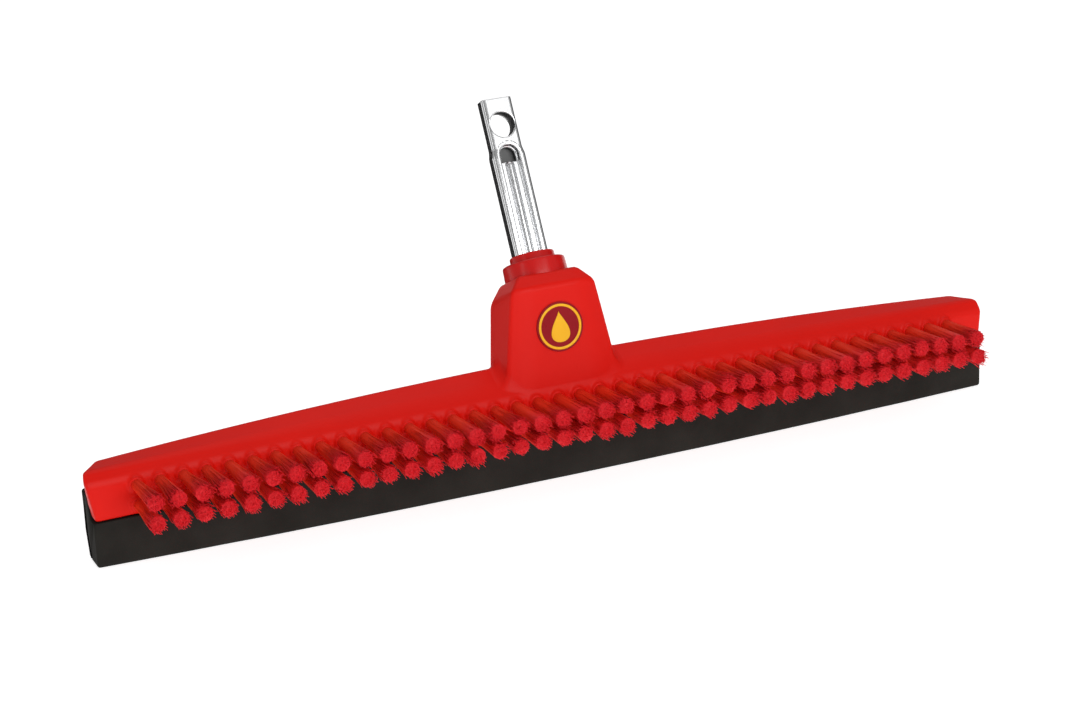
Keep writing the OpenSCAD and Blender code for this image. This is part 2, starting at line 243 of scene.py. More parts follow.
def new_group(name, inputs, outputs):
    """A shader node group with named number inputs and typed outputs."""
    group = bpy.data.node_groups.new(name, "ShaderNodeTree")
    for label, value in inputs.items():
        socket = group.interface.new_socket(label, in_out="INPUT", socket_type="NodeSocketFloat")
        socket.default_value = value
    for label, kind in outputs.items():
        group.interface.new_socket(label, in_out="OUTPUT", socket_type=kind)
    made = group.nodes.new
    return group, made("NodeGroupInput"), made("NodeGroupOutput")


def math_node(tree, operation, a, b):
    node = tree.nodes.new("ShaderNodeMath")
    node.operation = operation
    for socket, value in zip(node.inputs, (a, b)):
        if isinstance(value, (int, float)):
            socket.default_value = value
        else:
            tree.links.new(value, socket)
    return node.outputs[0]


def noise_node(tree, scale, detail, vector):
    node = tree.nodes.new("ShaderNodeTexNoise")
    node.inputs["Detail"].default_value = detail
    tree.links.new(vector, node.inputs["Vector"])
    if isinstance(scale, (int, float)):
        node.inputs["Scale"].default_value = scale
    else:
        tree.links.new(scale, node.inputs["Scale"])
    return node.outputs["Fac"]


def grain_group():
    """Fine moulded or cast grain: a height, and a slow mottle of the surface."""
    group, given, out = new_group(
        "surface_grain", {"Grain Scale": 1500.0, "Mottle Scale": 40.0},
        {"Height": "NodeSocketFloat", "Mottle": "NodeSocketFloat"})
    place = group.nodes.new("ShaderNodeTexCoord").outputs["Object"]
    fine = noise_node(group, given.outputs["Grain Scale"], 3.0, place)
    slow = noise_node(group, given.outputs["Mottle Scale"], 4.0, place)
    group.links.new(fine, out.inputs["Height"])
    group.links.new(slow, out.inputs["Mottle"])
    return group


def shade_group():
    """Two colours mixed by a mask that is stretched around its middle."""
    group, given, out = new_group(
        "two_tone", {"Mask": 0.5, "Contrast": 1.0}, {"Share": "NodeSocketFloat"})
    centred = math_node(group, "SUBTRACT", given.outputs["Mask"], 0.5)
    spread = math_node(group, "MULTIPLY", centred, given.outputs["Contrast"])
    lifted = math_node(group, "ADD", spread, 0.5)
    clamp = group.nodes.new("ShaderNodeClamp")
    group.links.new(lifted, clamp.inputs["Value"])
    group.links.new(clamp.outputs["Result"], out.inputs["Share"])
    return group


GRAIN = grain_group()
SHARE = shade_group()


def place_group(tree, group, **values):
    node = tree.nodes.new("ShaderNodeGroup")
    node.node_tree = group
    for label, value in values.items():
        socket = node.inputs[label.replace("_", " ")]
        if isinstance(value, (int, float)):
            socket.default_value = value
        else:
            tree.links.new(value, socket)
    return node


def colour_mix(tree, share, a, b):
    node = tree.nodes.new("ShaderNodeMix")
    node.data_type = "RGBA"
    tree.links.new(share, node.inputs["Factor"])
    for socket, colour in ((node.inputs[6], a), (node.inputs[7], b)):
        if isinstance(colour, tuple):
            socket.default_value = (*colour, 1)
        else:
            tree.links.new(colour, socket)
    return node.outputs[2]


def number_range(tree, value, low, high):
    node = tree.nodes.new("ShaderNodeMapRange")
    node.inputs["To Min"].default_value = low
    node.inputs["To Max"].default_value = high
    tree.links.new(value, node.inputs["Value"])
    return node.outputs["Result"]


def add_bump(tree, shader, height, strength, distance):
    node = tree.nodes.new("ShaderNodeBump")
    node.inputs["Strength"].default_value = strength
    node.inputs["Distance"].default_value = distance
    tree.links.new(height, node.inputs["Height"])
    tree.links.new(node.outputs["Normal"], shader.inputs["Normal"])


def new_material(name, **sockets):
    """A material with its Principled shader's own sockets set."""
    material = bpy.data.materials.new(name)
    material.use_nodes = True
    tree = material.node_tree
    shader = tree.nodes["Principled BSDF"]
    for label, value in sockets.items():
        shader.inputs[label.replace("_", " ")].default_value = value
    return material, tree, shader


def grained(name, dark, light, rough, grain, mottle, bump, depth, contrast=1.6, **sockets):
    """A surface with two near colours, fine grain and a slightly uneven gloss."""
    material, tree, shader = new_material(name, **sockets)
    surface = place_group(tree, GRAIN, Grain_Scale=grain, Mottle_Scale=mottle)
    share = place_group(tree, SHARE, Mask=surface.outputs["Mottle"], Contrast=contrast)
    tree.links.new(colour_mix(tree, share.outputs["Share"], dark, light),
                   shader.inputs["Base Color"])
    tree.links.new(number_range(tree, surface.outputs["Mottle"], *rough),
                   shader.inputs["Roughness"])
    add_bump(tree, shader, surface.outputs["Height"], bump, depth)
    return material


def body_plastic():
    return grained("body_plastic", (0.66, 0.006, 0.002), (0.73, 0.008, 0.003), (0.38, 0.48),
                   1150.0, 22.0, 0.6, 0.0001, Specular_IOR_Level=0.14)


def socket_plastic():
    return grained("socket_plastic", (0.52, 0.005, 0.005), (0.58, 0.007, 0.006), (0.2, 0.28),
                   900.0, 30.0, 0.12, 0.00003, Specular_IOR_Level=0.32)


def lip_foam():
    material, tree, shader = new_material("lip_foam", Specular_IOR_Level=0.1)
    surface = place_group(tree, GRAIN, Grain_Scale=2600.0, Mottle_Scale=60.0)
    share = place_group(tree, SHARE, Mask=surface.outputs["Mottle"], Contrast=2.2)
    colour = colour_mix(tree, share.outputs["Share"], (0.014, 0.013, 0.011), (0.024, 0.022, 0.019))
    tree.links.new(colour, shader.inputs["Base Color"])
    tree.links.new(number_range(tree, surface.outputs["Mottle"], 0.72, 0.88),
                   shader.inputs["Roughness"])
    pores = tree.nodes.new("ShaderNodeTexVoronoi")
    pores.inputs["Scale"].default_value = 1400.0
    place = tree.nodes.new("ShaderNodeTexCoord").outputs["Object"]
    tree.links.new(place, pores.inputs["Vector"])
    height = math_node(tree, "ADD", surface.outputs["Height"],
                       math_node(tree, "MULTIPLY", pores.outputs["Distance"], 0.7))
    add_bump(tree, shader, height, 0.45, 0.00012)
    return material


def bright_steel():
    material, tree, shader = new_material("bright_steel", Metallic=1.0)
    surface = place_group(tree, GRAIN, Grain_Scale=500.0, Mottle_Scale=70.0)
    share = place_group(tree, SHARE, Mask=surface.outputs["Mottle"], Contrast=1.2)
    colour = colour_mix(tree, share.outputs["Share"], (0.80, 0.81, 0.82), (0.90, 0.90, 0.91))
    tree.links.new(colour, shader.inputs["Base Color"])
    tree.links.new(number_range(tree, surface.outputs["Height"], 0.08, 0.2),
                   shader.inputs["Roughness"])
    add_bump(tree, shader, surface.outputs["Mottle"], 0.12, 0.0002)
    return material


def shaded_inside_steel():
    """Steel for the inside of the folded tang: rougher, and painted near black as the shade inside
    the fold.
    """
    return grained("shaded_inside_steel", (0.10, 0.10, 0.10), (0.16, 0.16, 0.16), (0.45, 0.6),
                   900.0, 70.0, 0.3, 0.00005, Metallic=1.0)


def plain_steel():
    return grained("plain_steel", (0.45, 0.45, 0.46), (0.56, 0.56, 0.57), (0.25, 0.4),
                   1200.0, 80.0, 0.2, 0.00004, Metallic=1.0)


def badge_enamel():
    return grained("badge_enamel", (0.26, 0.004, 0.009), (0.30, 0.006, 0.012), (0.24, 0.34),
                   1400.0, 60.0, 0.1, 0.00003, Specular_IOR_Level=0.15)


def badge_yellow():
    return grained("badge_yellow", (0.86, 0.42, 0.012), (0.94, 0.52, 0.02), (0.28, 0.38),
                   1400.0, 60.0, 0.1, 0.00003, Specular_IOR_Level=0.2)


def bristle():
    """Drawn filament: lighter and more orange at the root, crimson at the cut end."""
    material, tree, shader = new_material("bristle", Specular_IOR_Level=0.14)
    along = tree.nodes.new("ShaderNodeAttribute")
    along.attribute_name = "along"
    strand = tree.nodes.new("ShaderNodeAttribute")
    strand.attribute_name = "strand"
    ramp = tree.nodes.new("ShaderNodeValToRGB")
    first, last = ramp.color_ramp.elements
    first.position, first.color = 0.5, (0.86, 0.042, 0.014, 1)
    last.position, last.color = 1.0, (0.80, 0.026, 0.040, 1)
    tree.links.new(along.outputs["Fac"], ramp.inputs["Fac"])
    deep = tree.nodes.new("ShaderNodeValToRGB")
    first, last = deep.color_ramp.elements
    first.position, first.color = 0.5, (0.74, 0.026, 0.010, 1)
    last.position, last.color = 1.0, (0.66, 0.014, 0.022, 1)
    tree.links.new(along.outputs["Fac"], deep.inputs["Fac"])
    # The strand value mixes the deep and the light colours: a random tone per strand, and on the
    # tufts' cores a fixed darker value that is painted shade.
    colour = colour_mix(tree, strand.outputs["Fac"], deep.outputs["Color"], ramp.outputs["Color"])
    tree.links.new(colour, shader.inputs["Base Color"])
    tree.links.new(number_range(tree, strand.outputs["Fac"], 0.55, 0.4),
                   shader.inputs["Roughness"])
    return material


# ---------------------------------------------------------------- pieces

def make_piece(name, points, faces, material, replaces=(), normals=None, smooth=True):
    """A mesh object from points in millimetres, riding on the one body."""
    mesh = bpy.data.meshes.new(name)
    mesh.from_pydata((np.asarray(points) * MM).tolist(), [], [list(f) for f in faces])
    mesh.polygons.foreach_set("use_smooth", [smooth] * len(mesh.polygons))
    if normals is not None:
        mesh.normals_split_custom_set_from_vertices(np.asarray(normals).tolist())
    mesh.materials.append(material)
    piece = bpy.data.objects.new(name, mesh)
    bpy.context.scene.collection.objects.link(piece)
    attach(piece, "root")
    if replaces:
        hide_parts(*replaces)
    return piece


def on_axis(points, back=0.0):
    """Points given as (across, back, along the leaning axis) put in the CAD frame."""
    x, v, w = np.asarray(points, float).T
    v = v + back
    y = SOCKET_Y + v * math.cos(LEAN) + w * math.sin(LEAN)
    z = SOCKET_Z - v * math.sin(LEAN) + w * math.cos(LEAN)
    return np.stack([x, y, z], 1)


def neck_corners():
    """The corners of the neck: its foot, its shoulder and its top."""
    foot_back = BACK_Y - 0.3 - NECK_FOOT[0]
    foot = [(18.5, 0), (27.5, 2.4), (29.5, foot_back)]
    points = [(s * x, NECK_FOOT[0] + y, NECK_FOOT[1]) for x, y in foot for s in (-1, 1)]
    shoulder = [(14, FACE_V), (20.3, FACE_V + 2.4), (22.3, 6), (13.3, RING_R + 3)]
    top = [(RING_R, -RING_R), (RING_R, -RING_R + 1), (RING_R + 2, 6), (9, RING_R + 1)]
    rows = [(shoulder, SHOULDER), (top, NECK_TOP)]
    upper = [(s * x, v, w) for row, w in rows for x, v in row for s in (-1, 1)]
    return np.concatenate([np.array(points), on_axis(upper, -SOCKET_FWD)])


def hull_planes(points):
    """The planes round a set of points, as outward normals and distances."""
    n = len(points)
    found = []
    for i in range(n):
        for j in range(i + 1, n):
            for k in range(j + 1, n):
                normal = np.cross(points[j] - points[i], points[k] - points[i])
                size = np.linalg.norm(normal)
                if size < 1e-6:
                    continue
                normal = normal / size
                side = points @ normal - points[i] @ normal
                for s in (1, -1):
                    if (s * side).max() < 0.02:
                        found.append((*(s * normal), s * (points[i] @ normal)))
    found = np.array(found)
    kept = []
    for plane in found:
        if all(np.abs(plane - other).max() > 0.02 for other in kept):
            kept.append(plane)
    return kept


NECK_PLANES = hull_planes(neck_corners())


def neck_field(x, y, z):
    return round_cut([a * x + b * y + c * z - d for a, b, c, d in NECK_PLANES], 1.4)


def straightened(x, y, z):
    """Takes out the bow and the bar's arch."""
    share = bar_share(x)
    return y - BOW * share, z + BAR_ARCH * share


def bar_face(height):
    """How far back the straight bar's front face stands at a height."""
    share = (height - BAR_LOW[1]) / (BAR_TOP[1] - BAR_LOW[1])
    return BAR_LOW[0] + (BAR_TOP[0] - BAR_LOW[0]) * share


def wing_field(x, y, z):
    """The moulded bar, roof and back as one rounded block."""
    rise = TOP_RISE - RIDGE_ARCH * ridge_share(x) + BAR_ARCH * bar_share(x)
    y, z = straightened(x, y, z)
    ridge = (TOP_FRONT[0] + TOP_DEPTH, TOP_FRONT[1] + rise)
    flare = END_OVER * np.clip((z - BAR_LOW[1]) / (BAR_TOP[1] - BAR_LOW[1]), 0, 1)
    end = np.abs(x) - HALF - flare
    over = HALF + END_OVER
    corner = line_distance(np.abs(x), y, (HALF - END_RAKE, ridge[0]), (over, TOP_FRONT[0]))
    faces = [line_distance(y, z, BAR_LOW, BAR_TOP), line_distance(y, z, BAR_TOP, TOP_FRONT),
             line_distance(y, z, TOP_FRONT, ridge),
             (y - ridge[0] + z - ridge[1]) / math.sqrt(2), y - BACK_Y, BAR_LOW[1] - z, end, corner]
    return round_cut(faces, 1.3)


def collar_field(x, y, z):
    """The moulded collars round the tufts' roots."""
    y, z = straightened(x, y, z)
    last = (TUFTS - 1) / 2
    across = x - np.clip(np.round(x / PITCH - 0.5) + 0.5, -last, last) * PITCH
    found = None
    for height in TUFT_Z:
        dy, dz = y - (bar_face(height) - COLLAR_H), z - height
        out = -dy * math.cos(TUFT_TILT) + dz * math.sin(TUFT_TILT)
        up = dz * math.cos(TUFT_TILT) + dy * math.sin(TUFT_TILT)
        side = np.sqrt(across ** 2 + up ** 2) - COLLAR_R - 0.3 * np.clip(-out, 0, 2)
        one = round_cut([out, side, -out - 4], 0.5)
        found = one if found is None else np.minimum(found, one)
    return found


def body_field(x, y, z):
    """Bar, roof, back, collars and neck in one, with the hollow for the rail and lips."""
    flat_y, flat_z = straightened(x, y, z)
    wing = round_join(wing_field(x, y, z), collar_field(x, y, z), 0.9)
    fillet = 1.0 + 4.5 * ease((flat_y + 2) / 4)
    both = round_join(wing, neck_field(x, y, z), fillet)
    roof = np.where(np.abs(x) < LAST_RIB, RAIL_TOP + BAR_ARCH * bar_share(x), ROOF_Z)
    hollow = np.maximum(np.maximum(CAVITY_Y[0] - flat_y, flat_y - CAVITY_Y[1]), flat_z - roof)
    return np.maximum(both, -hollow)


def body_shell(material):
    low, high = (-218.5, -9.0, 18.0), (218.5, 50.0, 95.0)
    points, faces, normals = solid_from(body_field, low, high, (1.05, 0.8, 0.8))
    return make_piece("moulded_body", points, faces, material,
                      ("body_shell",), normals)


def tang_field(x, v, w):
    """Folded sheet: a box with a pressed channel, a latch hole and a narrower head."""
    step = ease((TANG_L - HEAD_L + 2.2 - w) / 4.4)
    half_w = TANG_W / 2 - HEAD_STEP + HEAD_STEP * step
    a, b = np.abs(x) - half_w + TANG_BEND, np.abs(v) - TANG_D / 2 + TANG_BEND
    corner = np.sqrt(np.maximum(a, 0) ** 2 + np.maximum(b, 0) ** 2)
    outer = corner + np.minimum(np.maximum(a, b), 0) - TANG_BEND
    outer = round_cut([outer, w - TANG_L], 0.5)
    inner_w, inner_d = TANG_W / 2 - HEAD_STEP - TANG_T, TANG_D / 2 - TANG_T
    inner = round_cut([np.abs(x) - inner_w, np.abs(v) - inner_d], 0.6)
    end = TANG_L - CHANNEL_DOWN - CHANNEL_W / 2
    slot = np.sqrt(x ** 2 + np.maximum(w - end, 0) ** 2) - CHANNEL_W / 2
    floor = CHANNEL_D - TANG_D / 2
    shell = np.maximum(outer, -inner)
    pressed = round_cut([slot - TANG_T, v - floor - TANG_T], 0.6)
    shell = round_join(shell, np.maximum(pressed, outer), 0.3)
    shell = round_minus(shell, round_cut([slot, v - floor], 0.9), 0.7)
    bead_end = TANG_L - CHANNEL_DOWN - BEAD_DOWN
    bead = np.sqrt(x ** 2 + (v - floor) ** 2 + np.maximum(w - bead_end + 1, 0) ** 2) - BEAD_R
    shell = round_join(shell, bead, 0.5)
    window = round_cut([slot + 0.7, bead_end + 0.6 - w, np.abs(v) - 2.2], 0.5)
    shell = round_minus(shell, window, 0.3)
    hole = np.sqrt(x ** 2 + (w - TANG_L + LATCH_DOWN) ** 2) - LATCH_R
    return round_minus(shell, hole, 0.45)


def tang(material, inside):
    low, high = (-8.6, -4.4, -6.0), (8.6, 4.4, TANG_L + 1)
    points, faces, normals = solid_from(tang_field, low, high, (0.3, 0.3, 0.45))
    c, s = math.cos(LEAN), math.sin(LEAN)
    turned = np.stack([normals[:, 0], normals[:, 1] * c + normals[:, 2] * s,
                       -normals[:, 1] * s + normals[:, 2] * c], 1)
    piece = make_piece("quick_connect_tang", on_axis(points), faces, material,
                       ("tang",), turned)
    piece.data.materials.append(inside)
    # Faces inside the fold take the second material, painted near black as shade inside the tang.
    x, v, _ = points[faces].mean(1).T
    hidden = (np.abs(x) < TANG_W / 2 - HEAD_STEP - TANG_T + 0.25) & (v > CHANNEL_D - TANG_D / 2 + 0.9)
    hidden &= v < TANG_D / 2 - TANG_T + 0.25
    piece.data.polygons.foreach_set("material_index", hidden.astype(np.int32))
    return piece


def lathe(profile, segments):
    """Points and faces of a profile of (radius, height) turned about its axis."""
    turns = np.arange(segments) * 2 * math.pi / segments
    points = [(r * math.cos(t), r * math.sin(t), h) for r, h in profile for t in turns]
    faces = []
    for i in range(len(profile) - 1):
        for j in range(segments):
            k = (j + 1) % segments
            faces.append((i * segments + j, i * segments + k,
                          (i + 1) * segments + k, (i + 1) * segments + j))
    top = (len(profile) - 1) * segments
    faces.append(tuple(range(top, top + segments)))
    faces.append(tuple(reversed(range(segments))))
    return np.array(points), faces


def rounded_profile(corners, steps=5):
    """A profile whose corners, given as (radius, height, rounding), are turned into arcs."""
    made = []
    for n, (r, h, bend) in enumerate(corners):
        here = np.array((r, h), float)
        if bend == 0 or n in (0, len(corners) - 1):
            made.append(tuple(here))
            continue
        before = np.array(corners[n - 1][:2], float) - here
        after = np.array(corners[n + 1][:2], float) - here
        p = here + before / np.linalg.norm(before) * bend
        q = here + after / np.linalg.norm(after) * bend
        for t in np.linspace(0, 1, steps + 1):
            made.append(tuple((1 - t) ** 2 * p + 2 * t * (1 - t) * here + t ** 2 * q))
    return made


def handle_socket(material):
    """The two rings of the collar, in one turned piece."""
    profile = rounded_profile([
        (RING_R, NECK_TOP - 3, 0), (RING_R, NECK_TOP, 0), (RING_R - 0.25, -CAP_H, 1.1),
        (CAP_R + 0.2, -CAP_H, 0.5), (CAP_R, 0, 0.8), (6.0, 0, 0)])
    points, faces = lathe(profile, 96)
    piece = make_piece("handle_socket_rings", on_axis(points, -SOCKET_FWD), faces, material,
                       ("handle_socket",))
    sharpen(piece, 40)
    return piece


def sharpen(piece, degrees):
    """Keeps edges over that angle crisp on a smoothly shaded piece."""
    piece.data.set_sharp_from_angle(angle=math.radians(degrees))


# ---------------------------------------------------------------- foam lips

LIP_HALF = 214.6
LIP_EDGE = 1.2
UNDER_BAR = 24.2


def bend_profile(corners, bends, steps=4):
    """A closed outline whose corners are rounded by the bends given."""
    made, n = [], len(corners)
    for i, bend in enumerate(bends):
        here = np.array(corners[i], float)
        before = np.array(corners[i - 1], float) - here
        after = np.array(corners[(i + 1) % n], float) - here
        p = here + before / np.linalg.norm(before) * bend
        q = here + after / np.linalg.norm(after) * bend
        for t in np.linspace(0, 1, steps + 1):
            made.append((1 - t) ** 2 * p + 2 * t * (1 - t) * here + t ** 2 * q)
    return np.array(made)


def split_long(outline, most):
    """Adds points along an outline's long sides."""
    made = []
    for i, p in enumerate(outline):
        q = outline[(i + 1) % len(outline)]
        n = max(1, int(math.ceil(np.linalg.norm(q - p) / most)))
        made += [p + (q - p) * k / n for k in range(n)]
    return np.array(made)


def inset(outline, depth):
    """The outline moved inwards by depth."""
    ahead = np.roll(outline, -1, 0) - np.roll(outline, 1, 0)
    normal = np.stack([-ahead[:, 1], ahead[:, 0]], 1)
    normal /= np.maximum(np.linalg.norm(normal, axis=1), 1e-9)[:, None]
    return outline + normal * depth


def lip_stations(half, edge):
    """Places along a lip with the inset of its outline at each, for round ends."""
    turns = np.linspace(0, math.pi / 2, 5)
    ends = [(half - edge + edge * math.sin(t), edge * (1 - math.cos(t))) for t in turns]
    middle = [(x, 0.0) for x in np.linspace(-half + edge, half - edge, 121)[1:-1]]
    return [(-x, d) for x, d in reversed(ends)] + middle + ends


def foam_sweep(name, outline, bar_back, material, replaces, seed):
    """A foam strip swept along the head's bow, a little uneven as foam rubber is.

    What lies in front of bar_back stays under the bar.
    """
    rng = np.random.default_rng(seed)
    waves = rng.uniform(-1, 1, (6, 3))
    rows = []
    for x, depth in lip_stations(LIP_HALF, LIP_EDGE):
        section = inset(outline, depth)
        share = fall_share(min(abs(x), HALF + 2), BOW)
        capped = np.minimum(section[:, 1], UNDER_BAR - BAR_ARCH * bar_share(x))
        z = np.where(outline[:, 0] < bar_back, capped, section[:, 1])
        sway = sum(w[0] * math.sin(x * 0.03 * (n + 1) + 3 * w[1]) for n, w in enumerate(waves))
        y = section[:, 0] + BOW * share + 0.05 * sway * np.clip(1 - z / 22, 0, 1)
        rows.append(np.stack([np.full(len(y), x), y, z], 1))
    points, n = np.concatenate(rows), len(outline)
    faces = [(i * n + j, i * n + (j + 1) % n, (i + 1) * n + (j + 1) % n, (i + 1) * n + j)
             for i in range(len(rows) - 1) for j in range(n)]
    faces.append(tuple(reversed(range(n))))
    faces.append(tuple(range((len(rows) - 1) * n, len(rows) * n)))
    piece = make_piece(name, points, faces, material, replaces)
    return piece


def front_lip(material):
    corners = [(-4.95, 0), (4.95, 0), (8.25, 12), (7.9, 24.8), (7.9, 30.6), (2.8, 30.6), (2.8, 25.5),
               (-4.95, 25.5)]
    outline = split_long(bend_profile(corners, [1.9, 0.5, 2, 2, 0.7, 0.7, 0.3, 1.2]), 2.2)
    return foam_sweep("front_foam_lip", outline, 2.2, material, ("front_lip",), 3)


def rear_lip(material):
    corners = [(5.25, 0.6), (8.65, 0.6), (11.95, 12), (11.5, 24.8), (11.5, 30.6), (8.2, 30.6),
               (8.2, 24.8), (8.55, 12)]
    outline = split_long(bend_profile(corners, [0.4, 0.9, 2, 2, 0.6, 0.6, 2, 2]), 2.2)
    return foam_sweep("rear_foam_lip", outline, 0, material, ("rear_lip",), 5)


# ---------------------------------------------------------------- tufts

# Strands stand at a fixed turn from each other, as seeds do in a flower head
STRANDS = 130
STRAND_RINGS = 7
STRAND_SIDES = 3
STRAND_R = 0.29
STRAND_TURN = 2.399963


def tuft_root(i, row):
    """Where tuft number i of a row leaves its collar."""
    x = (i - (TUFTS - 1) / 2) * PITCH
    z = TUFT_Z[row]
    y = bar_face(z) - COLLAR_H
    share = float(bar_share(x))
    return np.array([x, y + BOW * share, z - BAR_ARCH * share])


def tuft_axes():
    """A tuft's own directions: across, up and out of the bar."""
    s, c = math.sin(TUFT_TILT), math.cos(TUFT_TILT)
    return np.array([1, 0, 0]), np.array([0, s, c]), np.array([0, -c, s])


def strand_lines(rng):
    """Centre lines of one tuft's strands, as (across, up, out), with their shades."""
    n = np.arange(STRANDS)
    angle = n * STRAND_TURN + rng.uniform(0, 6.28)
    radius = np.sqrt((n + 0.5) / STRANDS)
    start = np.stack([np.cos(angle), np.sin(angle)], 1) * radius[:, None]
    t = np.array([0.0, 0.18, 0.4, 0.62, 0.82, 0.93, 1.0])
    lean = rng.normal(0, 0.5, 2)
    end = start * TUFT_END * rng.uniform(0.88, 1.08, (STRANDS, 1)) + rng.normal(0, 0.22, (STRANDS, 2))
    fray = rng.normal(0, 0.28, (STRANDS, 2))
    crimp = rng.uniform(0, 6.28, STRANDS)
    length = TUFT_LENGTH - 0.6 + rng.normal(0, 0.5, STRANDS) - 0.9 * radius ** 2
    lines = np.empty((STRANDS, STRAND_RINGS, 3))
    for k, share in enumerate(t):
        flare = share ** 1.5
        spot = start * (TUFT_ROOT - STRAND_R) * (1 - flare) + (end + lean) * flare
        spot = spot + fray * ease((share - 0.75) / 0.25)
        wave = 0.16 * np.sin(crimp + share * 14) * share
        lines[:, k, :2] = spot + np.stack([wave, wave * np.cos(crimp)], 1)
        lines[:, k, 2] = length * share - TUFT_SUNK * (1 - share)
    return lines, t, rng.uniform(0.45, 1.0, STRANDS)


def strand_mesh(lines, t, shades):
    """Thin tapering tubes on the centre lines, in the tuft's own directions."""
    turns = np.arange(STRAND_SIDES) * 2 * math.pi / STRAND_SIDES
    width = STRAND_R * np.interp(t, [0, 0.8, 1], [1, 0.9, 0.45])
    points = np.repeat(lines[:, :, None, :], STRAND_SIDES, 2)
    points[..., 0] += width[None, :, None] * np.cos(turns)
    points[..., 1] += width[None, :, None] * np.sin(turns)
    per = STRAND_RINGS * STRAND_SIDES
    quads = []
    for k in range(STRAND_RINGS - 1):
        for j in range(STRAND_SIDES):
            m = (j + 1) % STRAND_SIDES
            quads.append((k * STRAND_SIDES + j, k * STRAND_SIDES + m,
                          (k + 1) * STRAND_SIDES + m, (k + 1) * STRAND_SIDES + j))
    first = np.arange(len(lines))[:, None, None] * per
    faces = (first + np.array(quads)[None]).reshape(-1, 4).tolist()
    tips = np.arange(len(lines))[:, None] * per + per - STRAND_SIDES + np.arange(STRAND_SIDES)
    faces += tips.tolist()
    along = np.tile(np.repeat(t, STRAND_SIDES), len(lines))
    strand = np.repeat(shades, per)
    return points.reshape(-1, 3), faces, along, strand


def core_mesh(rng):
    """The dense middle of a tuft, which the outer strands lie on."""
    sides, t = 18, np.array([0.0, 0.2, 0.45, 0.7, 0.88, 0.95])
    points, along = [], []
    for share in t:
        r = TUFT_ROOT * (1 - share ** 1.5) + TUFT_END * 0.86 * share ** 1.5
        for j in range(sides):
            a = j * 2 * math.pi / sides
            ripple = 0.9 + 0.08 * (j % 2) + rng.uniform(-0.03, 0.03)
            height = TUFT_LENGTH * share * (0.97 if share > 0.9 else 1) - TUFT_SUNK * (1 - share)
            points.append((r * ripple * math.cos(a), r * ripple * math.sin(a), height))
            along.append(share)
    faces = [(i * sides + j, i * sides + (j + 1) % sides, (i + 1) * sides + (j + 1) % sides,
              (i + 1) * sides + j) for i in range(len(t) - 1) for j in range(sides)]
    faces.append(tuple(range((len(t) - 1) * sides, len(t) * sides)))
    faces.append(tuple(reversed(range(sides))))
    # The core's fixed strand value of 0.6 lies below the strands' average, so the core is painted a
    # little darker as the shade deep inside the tuft.
    return np.array(points), faces, np.array(along), np.full(len(points), 0.6)


def tuft_pair(i, material):
    """The upper and the lower tuft at one place along the bar."""
    rng = np.random.default_rng(100 + i)
    points, faces, along, strand = [], [], [], []
    across, up, out = tuft_axes()
    count = 0
    for row in (0, 1):
        root = tuft_root(i, row)
        for part in (strand_mesh(*strand_lines(rng)), core_mesh(rng)):
            p, f, a, s = part
            points.append(root + p[:, :1] * across + p[:, 1:2] * up + p[:, 2:] * out)
            faces += [[v + count for v in face] for face in f]
            along.append(a)
            strand.append(s)
            count += len(p)
    piece = make_piece(f"bristle_pair_{i + 1:02d}", np.concatenate(points), faces, material,
                       (f"tuft_pair_{i + 1:02d}",))
    for name, values in (("along", along), ("strand", strand)):
        layer = piece.data.attributes.new(name, "FLOAT", "POINT")
        layer.data.foreach_set("value", np.concatenate(values).astype(np.float32))
    return piece


# ---------------------------------------------------------------- badge

def badge_frame():
    """Turns badge points (across, up its face, out of it) into the CAD frame."""
    low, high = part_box("badge")
    centre = (low + high) / 2 / MM
    shoulder = on_axis([(0, FACE_V, SHOULDER)], -SOCKET_FWD)[0]
    lean = math.atan2(shoulder[1] - NECK_FOOT[0], shoulder[2] - NECK_FOOT[1])
    up = Vector((0, math.sin(lean), math.cos(lean)))
    out = Vector((0, -math.cos(lean), math.sin(lean)))
    return centre, up, out


def on_badge(points):
    centre, up, out = badge_frame()
    points = np.asarray(points, float)
    return (np.array(centre) + points[:, :1] * np.array([1.0, 0, 0])
            + points[:, 1:2] * np.array(up) + points[:, 2:] * np.array(out))


def raised_shape(outline, low, high, edge):
    """A flat raised shape with a small bevel round its top."""
    outline = np.asarray(outline, float)
    n = len(outline)
    rows = [(outline, low), (outline, high - edge), (inset(outline, edge), high)]
    points = np.concatenate([np.column_stack([o, np.full(n, h)]) for o, h in rows])
    faces = [(i * n + j, i * n + (j + 1) % n, (i + 1) * n + (j + 1) % n, (i + 1) * n + j)
             for i in (0, 1) for j in range(n)]
    return points, faces + [tuple(range(2 * n, 3 * n)), tuple(reversed(range(n)))]


def badge_disc(material):
    profile = rounded_profile([(11.0, -0.8, 0), (11.0, 0.8, 0.35), (10.4, 0.8, 0.2),
                               (10.1, 0.55, 0.1), (4.0, 0.55, 0)])
    points, faces = lathe(profile, 96)
    piece = make_piece("badge_disc", on_badge(points), faces, material, ("badge",))
    sharpen(piece, 50)


def badge_ring(material):
    profile = [(10.1, 0.4), (10.1, 0.72), (9.95, 0.8), (9.15, 0.8), (9.0, 0.72), (9.0, 0.4)]
    turns = np.arange(96) * 2 * math.pi / 96
    points = [(r * math.cos(t), r * math.sin(t), h) for r, h in profile for t in turns]
    faces = [(i * 96 + j, i * 96 + (j + 1) % 96, ((i + 1) % 6) * 96 + (j + 1) % 96,
              ((i + 1) % 6) * 96 + j) for i in range(6) for j in range(96)]
    piece = make_piece("badge_ring", on_badge(points), faces, material)
    sharpen(piece, 40)


